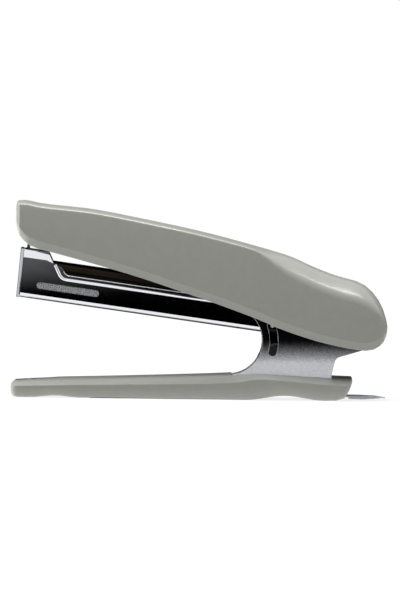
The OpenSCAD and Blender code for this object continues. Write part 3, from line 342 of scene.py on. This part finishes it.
# %% Sheet metal
def sheet_metal(slot, colours, worn, gloss, lines, depth, film=None, edge=0.3 * MM):
    """A drawn or rolled metal, with bare edges and perhaps under a film.

    Its hairlines show in its colours, its gloss (smoothest and roughest) and a bump of some depth.
    lines gives their scale, stretch and tilt.
    """
    tree, shader = new_finish(slot, Metallic=1.0)
    scale, stretch, tilt = lines
    hair = mask(tree, drawn_lines, Scale=scale, Stretch=stretch, Tilt=tilt)
    dulled = number(tree, "ADD", hair, mask(tree, handling))
    colour = blend(tree, hair, *colours)
    if film:
        colour = film(tree, colour)
    feed(tree, shader,
         Base_Color=blend(tree, mask(tree, worn_edges, Width=edge), colour, worn),
         Roughness=ramp(tree, dulled, 0, 2, *gloss),
         Normal=shallow(tree, hair, strength=0.12, depth=depth))
    print(slot)


print("sheet metal recipe ready")

# %% [markdown]
# ### Chrome
# The magazine is bright chrome: its flat sides mirror a dark card while every fold catches the white table.
# Fine polishing lines run along it, at the magazine's own slope. Its underside and the length inside the frame
# are painted near black, as painted shade where the folds face the desk and where the frame's cheeks enclose it.
# Faces could be given a second material there, but a mask made from the way they face and where they lie fades
# softly.

# %% Chrome
MAGAZINE_TILT = Vector(joints["pusher_slide"]["axis"]).angle(Vector((1, 0, 0)))
UNDERSIDE = (-0.62, -0.85)  # how far down a face points where the painted shade starts and where it is full
FRAME_MOUTH = (25.5 * MM, 28.5 * MM)  # along the stapler, where the painted shade inside the frame starts and where it is full


def painted_shade_under_and_in_frame(tree, colour):
    """Painted shade: dark where the sheet faces the desk and where it runs inside the frame."""
    facing = add(tree, "SeparateXYZ", Vector=add(tree, "TexCoord").outputs["Normal"])
    place = add(tree, "SeparateXYZ", Vector=object_place(tree))
    dark = number(tree, "MAXIMUM", ramp(tree, facing.outputs["Z"], *UNDERSIDE),
                  ramp(tree, place.outputs["X"], *FRAME_MOUTH))
    # painted shade: the chrome turns near black here
    return blend(tree, dark, colour, srgb(24, 24, 27))


# The chrome's film is painted shade under the sheet and inside the frame.
sheet_metal("chrome", (srgb(224, 225, 231), srgb(236, 236, 241)), worn=srgb(246, 246, 249),
            gloss=(0.025, 0.05), lines=(1400.0, 0.02, -MAGAZINE_TILT), depth=0.0006 * MM, film=painted_shade_under_and_in_frame)

# %% [markdown]
# ### Satin, blued and plated steels
# The plates inside are rolled steel left satin, with a fine grain. The cover rail is blued nearly black,
# with broad streaks along it. Springs, plated screws and staple wire differ in colour and grain. The recipe
# covers them all, so each is one call.

# %% Steels
sheet_metal("satin_steel", (srgb(142, 143, 148), srgb(172, 173, 178)), worn=srgb(205, 206, 209),
            gloss=(0.30, 0.42), lines=(1500.0, 0.35, 0.0), depth=0.01 * MM)
sheet_metal("blued_steel", (srgb(4, 4, 4), srgb(62, 53, 46)), worn=srgb(96, 90, 84),
            gloss=(0.24, 0.42), lines=(560.0, 0.01, -MAGAZINE_TILT), depth=0.01 * MM)
sheet_metal("spring_steel", (srgb(54, 56, 61), srgb(82, 84, 89)), worn=srgb(98, 100, 104),
            gloss=(0.25, 0.40), lines=(1200.0, 0.03, 0.0), depth=0.006 * MM)
sheet_metal("zinc", (srgb(176, 178, 178), srgb(206, 208, 206)), worn=srgb(226, 226, 224),
            gloss=(0.22, 0.40), lines=(1600.0, 0.6, 0.0), depth=0.01 * MM)
sheet_metal("staple_wire", (srgb(160, 162, 167), srgb(198, 199, 203)), worn=srgb(206, 206, 208),
            gloss=(0.22, 0.36), lines=(2200.0, 0.8, 0.0), depth=0.006 * MM)

# %% [markdown]
# ### The frame's steel, with painted shade
# The frame is a paler satin steel that is painted darker evenly towards the handle, as painted shade where the
# handle hangs over it. An image mask could show that, but a colour that follows the height above the desk needs no
# painting.
# A fine grain breaks it up, and its edges are painted pale over it, partly wear and partly a painted highlight.

# %% Frame steel
SHADE_TOP, SHADE_END = 25.0 * MM, 15.6 * MM  # heights where the painted shade is full and where it ends
SHADE_GRAIN = 1.1 * MM
SHADE_FADE = 2.0  # a power that makes the steps look even


def painted_handle_shade(tree, colour):
    """Painted shade: bare steel colour low down, nearly black at the top."""
    place = add(tree, "SeparateXYZ", Vector=object_place(tree))
    grain = ramp(tree, mask(tree, mottle, Scale=2600.0, Detail=2.0), 0, 1, -SHADE_GRAIN, SHADE_GRAIN)
    height = number(tree, "ADD", place.outputs["Z"], grain)
    unshaded = number(tree, "POWER", ramp(tree, height, SHADE_TOP, SHADE_END), SHADE_FADE)
    return blend(tree, unshaded, srgb(10, 10, 12), colour)


# The frame's film is painted shade under the handle.
sheet_metal("frame_steel", (srgb(206, 207, 212), srgb(224, 225, 229)), worn=srgb(236, 237, 240),
            # edge: a wide pale edge, partly wear and partly a painted highlight around the slot
            gloss=(0.30, 0.42), lines=(1500.0, 0.5, 0.0), depth=0.01 * MM, film=painted_handle_shade, edge=0.5 * MM)

# %% [markdown]
# ### The nose plate's steel
# The plate over the nose is pressed from plain bright steel, greyer than the chrome beside it and darker along
# its edges. Chrome would mirror the white table and melt into it, so the plate gets a finish of its own. It
# was brushed upright, so its lines are turned by a right angle.

# %% Nose plate
sheet_metal("nose_steel", (srgb(178, 180, 186), srgb(200, 202, 207)), worn=srgb(150, 152, 158),
            gloss=(0.10, 0.17), lines=(1400.0, 0.02, pi / 2), depth=0.002 * MM)

# %% [markdown]
# ## Dressing the solids that show
# A pressed or moulded piece never has knife edges. Modelling all of them again would lose their fit, so
# each solid that shows is copied, its loose triangles are merged and its flat faces joined, and a small
# bevel then runs along its sharp edges, where it catches the light. The width asked for is a limit: Blender
# clamps it where a piece has very short edges, which leaves the housing, the nose plate and the blade almost
# sharp. The two big shells are smooth lofts, so they only need their shading rounded.

# %% Copy and merge
# How close points of a solid are merged, and points that a bevel left on each other
MERGE, TOUCHING = 0.002 * MM, 0.0001 * MM
# Faces that differ by less than FLAT are joined, and edges past SHARP are bevelled
FLAT, SHARP = radians(0.4), radians(40)
# Smooth shading of the two lofted shells, in degrees
SHELL_SHADE = {"handle_shell": 18, "base_shell": 22}


def weld(piece, reach, flatten=False):
    """Merges the points within reach of each other and, if asked, joins the faces that lie in one plane."""
    pick(piece)
    bpy.ops.object.mode_set(mode="EDIT")
    bpy.ops.mesh.select_mode(type="VERT")
    bpy.ops.mesh.select_all(action="SELECT")
    bpy.ops.mesh.remove_doubles(threshold=reach)
    if flatten:
        bpy.ops.mesh.dissolve_limited(angle_limit=FLAT)
    bpy.ops.object.mode_set(mode="OBJECT")


def dressed(node, bevel=0.0, shade=30, roll=None):
    """A copy of a solid with merged points, bevelled edges and smooth shading.

    bevel is its widest, in mm, and shade is in degrees. roll shapes the copy before its edges are bevelled.
    """
    piece = bpy.data.objects.new(node + "_dressed", nodes[node].data.copy())
    bpy.context.scene.collection.objects.link(piece)
    weld(piece, MERGE, flatten=bevel > 0)
    bpy.ops.mesh.customdata_custom_splitnormals_clear()
    if roll:
        roll(piece)
    if bevel:
        apply_modifier(piece, "BEVEL", width=bevel * MM, segments=2, limit_method="ANGLE",
                       angle_limit=SHARP, miter_outer="MITER_ARC", use_clamp_overlap=True)
        weld(piece, TOUCHING)
    smooth(piece, shade)
    if bevel:
        apply_modifier(piece, "WEIGHTED_NORMAL", keep_sharp=True, weight=100)
    fit_to_body(piece, node)
    return piece


for node, angle in SHELL_SHADE.items():
    shell = dressed(node, shade=angle)
    print(shell.name, len(shell.data.polygons), "faces")

# %% [markdown]
# ### The rolled bead
# The rim of the magazine's sides is rolled outwards into a bead, which the photograph shows as a thick
# bright line, and a thinner lip runs along the staple tray above it. In the solids both are flat raised
# bands. A bevel can't follow both edges of so thin a band, so on each side the outer faces are pushed back
# and then inset three times, each time a little further out, which arches the band into a half round.

# %% Rolled bead
# Width and rise of each inset, in mm
BEAD_RINGS = ((0.18, 0.15), (0.2, 0.11), (0.25, 0.07))
LIP_RINGS = ((0.08, 0.1), (0.08, 0.05), (0.06, 0.02))
ROLLED_EDGE = 0.12
BAND_SLACK = 0.02 * MM


def roll_band(piece, rings):
    """Arches the outermost band on each side, ring by ring."""
    outer = max(v.co.y for v in piece.data.vertices)
    pushed = sum(rise for _, rise in rings) * MM
    for side in (-1, 1):
        open_faces(piece, lambda c, n: c.y * side > outer - BAND_SLACK and n.y * side > FACING)
        bpy.ops.transform.translate(value=(0, -side * pushed, 0))
        for width, rise in rings:
            bpy.ops.mesh.inset(thickness=width * MM, depth=rise * MM)
        bpy.ops.object.mode_set(mode="OBJECT")


housing = dressed("magazine_housing", ROLLED_EDGE, roll=lambda piece: roll_band(piece, BEAD_RINGS))
tray = dressed("staple_tray", ROLLED_EDGE, roll=lambda piece: roll_band(piece, LIP_RINGS))
for sheet in (housing, tray):
    print(sheet.name, len(sheet.data.polygons), "faces")

# %% [markdown]
# ### The other sheets
# Punched sheet has a small round along its edges from the die. One width for all would swallow the thin
# spring leaves, so each sheet has its own limit. The frame and the nose plate take their own steel in place
# of their slot's finish.

# %% Sheet metal with rounded edges
# Widest bevels, in mm
EDGE = {"frame_bracket": 0.32, "nose_plate": 0.16, "cover_rail": 0.16,
        "driver_arm": 0.2, "driver_blade": 0.1, "anvil_plate": 0.2, "remover_tongue": 0.08,
        "lift_spring": 0.12, "return_spring": 0.1, "axle_clip": 0.1}
OWN_STEEL = {"frame_bracket": "frame_steel", "nose_plate": "nose_steel"}
for node, width in EDGE.items():
    sheet = dressed(node, bevel=width)
    if node in OWN_STEEL:
        sheet.data.materials[0] = finishes[OWN_STEEL[node]]
    print(sheet.name, len(sheet.data.polygons), "faces")

# %% [markdown]
# ### Moulded and turned pieces
# The bottom cover, the pusher and the turned pins have softer edges. They could be turned again by spin, but
# the solids already have their true shapes. The pusher's spring is a round wire on a helix with no edges, so
# only its shading is smoothed.

# %% Moulded and turned pieces
SOFT_EDGE = {"base_sole": 0.25, "remover_tab": 0.12, "rod_bracket": 0.2, "pusher": 0.3,
             "main_axle": 0.25, "spacer_bush": 0.2, "guide_rod": 0.2, "stop_stud": 0.15}
for node, width in SOFT_EDGE.items():
    turned = dressed(node, bevel=width)
    print(turned.name, len(turned.data.polygons), "faces")
coil = dressed("pusher_spring", shade=60)
print(coil.name, len(coil.data.polygons), "faces")

# %% [markdown]
# ## The strip of staples
# The window in the magazine shows the legs of the staples side by side, as fine upright lines. A bump could
# fake them, but real wires also show from the open end. One staple is a bar that is extruded round its two
# corners, with its long edges bevelled.

# %% One staple
def extrude(piece, test, move):
    """Extrudes the faces that pass a test by a move."""
    open_faces(piece, test)
    bpy.ops.mesh.extrude_region_move(TRANSFORM_OT_translate={"value": move})
    bpy.ops.object.mode_set(mode="OBJECT")


def block(name, low, high):
    """A box from corner to corner, as a first shape to work on."""
    bpy.ops.object.select_all(action="DESELECT")
    low, high = Vector(low), Vector(high)
    bpy.ops.mesh.primitive_cube_add(size=1, location=(low + high) / 2, scale=high - low)
    bpy.context.object.name = name
    bpy.ops.object.transform_apply(location=True, rotation=True, scale=True)
    return bpy.context.object


PIVOT = Vector(joints["magazine_pivot"]["pos_m"])
magazine_frame = Matrix.Translation(PIVOT) @ Matrix.Rotation(MAGAZINE_TILT, 4, "Y")
strip = [magazine_frame.inverted() @ v.co for v in nodes["staple_strip"].data.vertices]
strip_low = Vector([min(v[i] for v in strip) for i in range(3)])
strip_high = Vector([max(v[i] for v in strip) for i in range(3)])
strip_size = strip_high - strip_low
WIRE = 0.6 * MM
PITCH = 0.94 * MM
GLUE_LINE = 0.12 * MM
WIRE_ROUND = 0.16 * MM

leg = Vector((PITCH - GLUE_LINE, WIRE, strip_size.z - WIRE))
staples = block("staple_strip_wires", strip_low, strip_low + leg)
crown_z = strip_high.z - WIRE
extrude(staples, lambda c, n: n.z > FACING, (0, 0, WIRE))
extrude(staples, lambda c, n: n.y > FACING and c.z > crown_z, (0, strip_size.y - 2 * WIRE, 0))
extrude(staples, lambda c, n: n.y > FACING and c.z > crown_z, (0, WIRE, 0))
extrude(staples, lambda c, n: n.z < -FACING and c.y > strip_high.y - WIRE, (0, 0, strip_low.z - crown_z))
apply_modifier(staples, "BEVEL", width=WIRE_ROUND, segments=2, limit_method="ANGLE", angle_limit=SHARP)
print("one staple,", len(staples.data.polygons), "faces")

# %% [markdown]
# ### The whole strip
# The staples could be placed one by one, but an array keeps them evenly apart over the tray's whole length.
# The strip is made level, turned to the magazine's slope, and its place then applied to the mesh.

# %% The strip
count = round(strip_size.x / PITCH)
apply_modifier(staples, "ARRAY", count=count, use_relative_offset=False, use_constant_offset=True,
               constant_offset_displace=((strip_size.x - PITCH) / (count - 1), 0, 0))
staples.matrix_world = magazine_frame
bpy.ops.object.transform_apply(location=True, rotation=True, scale=True)
smooth(staples, 20)
fit_to_body(staples, "staple_strip")
print(count, "staples in the strip")

# %% [markdown]
# ## Screws with a cross slot
# Six small screws hold the stapler together. A screw starts as a round disc for its head: the inner face is
# inset and drawn out as the shank, and the rim is bevelled into a pan. A cross could be pushed in by hand,
# but cutting two bars out with a boolean keeps its walls straight.

# %% Pan head screw
# Rounding of the rim and depth left under the cross, as shares of the head's height
PAN_ROUND, CROSS_FLOOR = 0.35, 0.45
# Half length and half width of a bar of the cross, as shares of the head's radius
BAR_LONG, BAR_WIDE = 0.62, 0.13


def pan_screw(name, head_r, head_h, shank_r, shank_len):
    """A screw that points up, with the underside of its head at z = 0."""
    bpy.ops.object.select_all(action="DESELECT")
    bpy.ops.mesh.primitive_cylinder_add(vertices=32, radius=head_r, depth=head_h,
                                        location=(0, 0, -head_h / 2))
    screw = bpy.context.object
    screw.name = name
    bpy.ops.object.transform_apply(location=True, rotation=True, scale=True)
    open_faces(screw, lambda c, n: n.z > FACING)
    bpy.ops.mesh.inset(thickness=head_r - shank_r)
    bpy.ops.mesh.extrude_region_move(TRANSFORM_OT_translate={"value": (0, 0, shank_len)})
    bpy.ops.object.mode_set(mode="OBJECT")
    apply_modifier(screw, "BEVEL", width=PAN_ROUND * head_h, segments=3, limit_method="ANGLE",
                   angle_limit=SHARP)
    for turn in (0, pi / 2):
        bar = block(name + "_bar", (-BAR_LONG * head_r, -BAR_WIDE * head_r, -2 * head_h),
                    (BAR_LONG * head_r, BAR_WIDE * head_r, -CROSS_FLOOR * head_h))
        bar.rotation_euler.z = turn
        apply_modifier(screw, "BOOLEAN", object=bar, operation="DIFFERENCE", solver="EXACT")
        bpy.data.objects.remove(bar)
    return screw


print("screw ready to set")

# %% [markdown]
# ### Setting the screws
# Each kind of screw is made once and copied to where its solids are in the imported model, so it stays in its
# hole if a size changes there. The handle's screws stand square to the arm, which slopes at rest, so they are
# measured and set in a frame that slopes with it.

# %% Set the screws
def set_screws(node, place, head_r, head_h, shank_r, spread):
    """Copies of one screw where the two solids of a node are, spread along one axis of a local frame."""
    local = [place.inverted() @ v.co for v in nodes[node].data.vertices]
    middle = (min(v[spread] for v in local) + max(v[spread] for v in local)) / 2
    shank_len = max(v.z for v in local) - min(v.z for v in local) - head_h
    model = pan_screw(node + "_cross", head_r, head_h, shank_r, shank_len)
    copies = []
    for side in (-1, 1):
        group = [v for v in local if (v[spread] - middle) * side > 0]
        centre = [(min(v[i] for v in group) + max(v[i] for v in group)) / 2 for i in range(2)]
        copy = bpy.data.objects.new(node + "_cross", model.data.copy())
        bpy.context.scene.collection.objects.link(copy)
        copy.matrix_world = place @ Matrix.Translation((*centre, min(v.z for v in group) + head_h))
        copies.append(copy)
    bpy.data.objects.remove(model)
    pick(copies[0])
    copies[1].select_set(True)
    bpy.ops.object.join()
    bpy.ops.object.transform_apply(location=True, rotation=True, scale=True)
    smooth(copies[0], 35)
    fit_to_body(copies[0], node)
    print(copies[0].name, len(copies[0].data.polygons), "faces")


ARM_TILT = radians(13)  # the handle's slope at rest
X, Y = 0, 1
upright = Matrix.Identity(4)
arm_frame = Matrix.Translation(PIVOT) @ Matrix.Rotation(ARM_TILT, 4, "Y")
set_screws("sole_screws", upright, head_r=2.4 * MM, head_h=1.1 * MM, shank_r=1.08 * MM, spread=X)
set_screws("frame_screws", upright, head_r=2.0 * MM, head_h=1.2 * MM, shank_r=1.08 * MM, spread=Y)
set_screws("arm_screws", arm_frame, head_r=2.5 * MM, head_h=1.3 * MM, shank_r=1.28 * MM, spread=X)

# %% [markdown]
# ## Ribbed grip pads
# Two rubber pads under the base keep it from sliding. Ribs could be an array of bars, but a moulded pad is
# one piece: bisect slices a flat block crosswise and along its two rims, every other slice of its underside
# is pushed in between the rims, which leaves the ribs, and the edges are then rounded.

# %% One pad
pads_low, pads_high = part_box("grip_pads")
between = (pads_low.x + pads_high.x) / 2
first_end = max(v.co.x for v in nodes["grip_pads"].data.vertices if v.co.x < between)
pad = block("grip_pads_ribbed", pads_low, (first_end, pads_high.y, pads_high.z))
RIBS = 6
RIM = 1.0 * MM
GROOVE = 0.4 * MM
RIB_ROUND = 0.12 * MM
step = (first_end - pads_low.x) / (2 * RIBS + 1)


def in_groove(centre, normal):
    """True for every other slice of the underside, inside the rim."""
    inside_rim = pads_low.y + RIM < centre.y < pads_high.y - RIM
    return normal.z < -FACING and inside_rim and int((centre.x - pads_low.x) / step) % 2 == 1


pick(pad)
bpy.ops.object.mode_set(mode="EDIT")
for i in range(1, 2 * RIBS + 1):
    bpy.ops.mesh.select_all(action="SELECT")
    bpy.ops.mesh.bisect(plane_co=(pads_low.x + i * step, 0, 0), plane_no=(1, 0, 0))
for y in (pads_low.y + RIM, pads_high.y - RIM):
    bpy.ops.mesh.select_all(action="SELECT")
    bpy.ops.mesh.bisect(plane_co=(0, y, 0), plane_no=(0, 1, 0))
bpy.ops.object.mode_set(mode="OBJECT")
extrude(pad, in_groove, (0, 0, GROOVE))
apply_modifier(pad, "BEVEL", width=RIB_ROUND, segments=2, limit_method="ANGLE", angle_limit=SHARP)
print("one pad,", len(pad.data.polygons), "faces")

# %% Both pads
twin = bpy.data.objects.new("pad_copy", pad.data.copy())
bpy.context.scene.collection.objects.link(twin)
twin.location.x = pads_high.x - first_end
pick(pad)
twin.select_set(True)
bpy.ops.object.join()
smooth(pad, 35)
fit_to_body(pad, "grip_pads")
print(pad.name, len(pad.data.polygons), "faces")

# %% [markdown]
# ## Floor and light
# The stapler stands on a glowing white table under one large soft lamp, with a second box of light before its
# nose. The top of the grey plastic is therefore pale, its sides are darker and its lower edges pick up the
# table again, as in the photograph.

# %% [markdown]
# ### The room
# A white wall could stand behind the stapler, but it would light the far side too. Here the room is white
# only to what sees it, which is the camera and shiny metal, and it hardly lights anything.

# %% White room
ROOM_LIGHT = 0.03
WHITE = (1, 1, 1, 1)


def shown(tree):
    """1 for what is seen straight on, in a mirror or through glass, and 0 for light that falls on a piece."""
    rays = add(tree, "LightPath").outputs
    direct = number(tree, "ADD", rays["Is Camera Ray"], rays["Is Glossy Ray"])
    return number(tree, "ADD", direct, rays["Is Transmission Ray"])


world = bpy.data.worlds.new("white_room")
bpy.context.scene.world = world
world.use_nodes = True
room = world.node_tree
feed(room, room.nodes["Background"], Color=WHITE, Strength=ramp(room, shown(room), 0, 1, ROOM_LIGHT, 1.0))
print("room light", ROOM_LIGHT, "and seen as white")

# %% [markdown]
# ### The table
# The table lights the stapler from below. Near the stapler a part of its white is lamp light on grey paint,
# so that a soft shadow shows, and further away all of it is glow. White paint alone would need brighter
# lamps.

# %% Table
TABLE_SIZE = 16
TABLE_GREY = (0.16, 0.16, 0.16, 1)
TABLE_GLOW = 0.81  # the glow that falls on the stapler
SEEN_NEAR, SEEN_FAR = 0.82, 1.0  # the glow that is seen
NEAR, FAR = 0.15, 0.6  # how far from the middle it changes

pick(camera)
bpy.ops.mesh.primitive_plane_add(size=TABLE_SIZE, location=(0, 0, 0))
table = bpy.context.object
table.name = "white_table"
top = bpy.data.materials.new("white_table")
top.use_nodes = True
tree = top.node_tree
away = add(tree, "VectorMath", _0=object_place(tree))
away.operation = "LENGTH"
white = ramp(tree, away.outputs["Value"], NEAR, FAR, SEEN_NEAR, SEEN_FAR)
feed(tree, tree.nodes["Principled BSDF"], Base_Color=TABLE_GREY, Roughness=0.9, Specular_IOR_Level=0.0,
     Emission_Color=WHITE, Emission_Strength=ramp(tree, shown(tree), 0, 1, TABLE_GLOW, white))
table.data.materials.append(top)
print(table.name)

# %% [markdown]
# ### The lamps
# A sun lamp would leave hard edges of shade, so both lamps are large soft rectangles. The box of light before
# the nose would show as a white patch in the steel, so metal doesn't mirror it.

# %% Lamps
def soft_lamp(name, place, aim, size, power, mirrored=True):
    """A rectangle of light, in metres and watts. Metal shows it if it is mirrored."""
    lamp = bpy.data.objects.new(name, bpy.data.lights.new(name, "AREA"))
    bpy.context.scene.collection.objects.link(lamp)
    lamp.data.shape = "RECTANGLE"
    lamp.data.size, lamp.data.size_y = size
    lamp.data.energy = power
    lamp.visible_glossy = mirrored
    lamp.location = place
    lamp.rotation_euler = (Vector(aim) - Vector(place)).to_track_quat("-Z", "Y").to_euler()


soft_lamp("overhead", place=(0.05, -0.05, 0.9), aim=(0, 0, 0.03), size=(0.8, 0.4), power=12.0)
soft_lamp("nose_box", place=(-0.8, 0.1, 0.14), aim=(-0.07, 0, 0.05), size=(0.4, 0.4), power=12.0,
          mirrored=False)
print("two lamps")

# %% [markdown]
# ### The cards
# Chrome shows nothing but its surroundings, so photographers stand cards around it. Real cards would also
# block light, so these two are seen by mirror reflections alone: a black one before the stapler makes the
# flat chrome black, and a dark grey one at the back keeps the top of the handle from glaring.

# %% Cards seen only in reflections
def mirror_card(name, y, width, height, glow, fade=(0.0, 0.001)):
    """A card standing across the table, seen in reflections alone. Its glow grows between two heights."""
    bpy.ops.object.select_all(action="DESELECT")
    bpy.ops.mesh.primitive_plane_add(size=1, location=(0, y, height / 2), rotation=(pi / 2, 0, 0))
    card = bpy.context.object
    card.name = name
    card.scale = (width, height, 1)
    bpy.ops.object.transform_apply(location=True, rotation=True, scale=True)
    card.visible_camera = False
    card.visible_diffuse = False
    card.visible_shadow = False
    card.visible_transmission = False
    felt = bpy.data.materials.new(name)
    felt.use_nodes = True
    tree = felt.node_tree
    place = add(tree, "SeparateXYZ", Vector=object_place(tree))
    feed(tree, tree.nodes["Principled BSDF"], Base_Color=(0, 0, 0, 1), Roughness=1.0,
         Specular_IOR_Level=0.0, Emission_Color=WHITE,
         Emission_Strength=ramp(tree, place.outputs["Z"], *fade, 0.0, glow))
    card.data.materials.append(felt)


mirror_card("black_card", y=-0.45, width=1.2, height=0.095, glow=0.1, fade=(0.037, 0.058))
mirror_card("grey_card", y=0.9, width=3.0, height=0.6, glow=0.06)
print("two cards")

# %% [markdown]
# ## Hidden solids
# Rivets and other solids that need no dressing stay as they are and take the finish of their slot.

# %% Finish the rest
for node, solid in nodes.items():
    solid.data.materials.clear()
    solid.data.materials.append(finishes[slot_of[node]])
bpy.context.scene.view_settings.view_transform = "Standard"
print("finished", len(nodes), "solids")
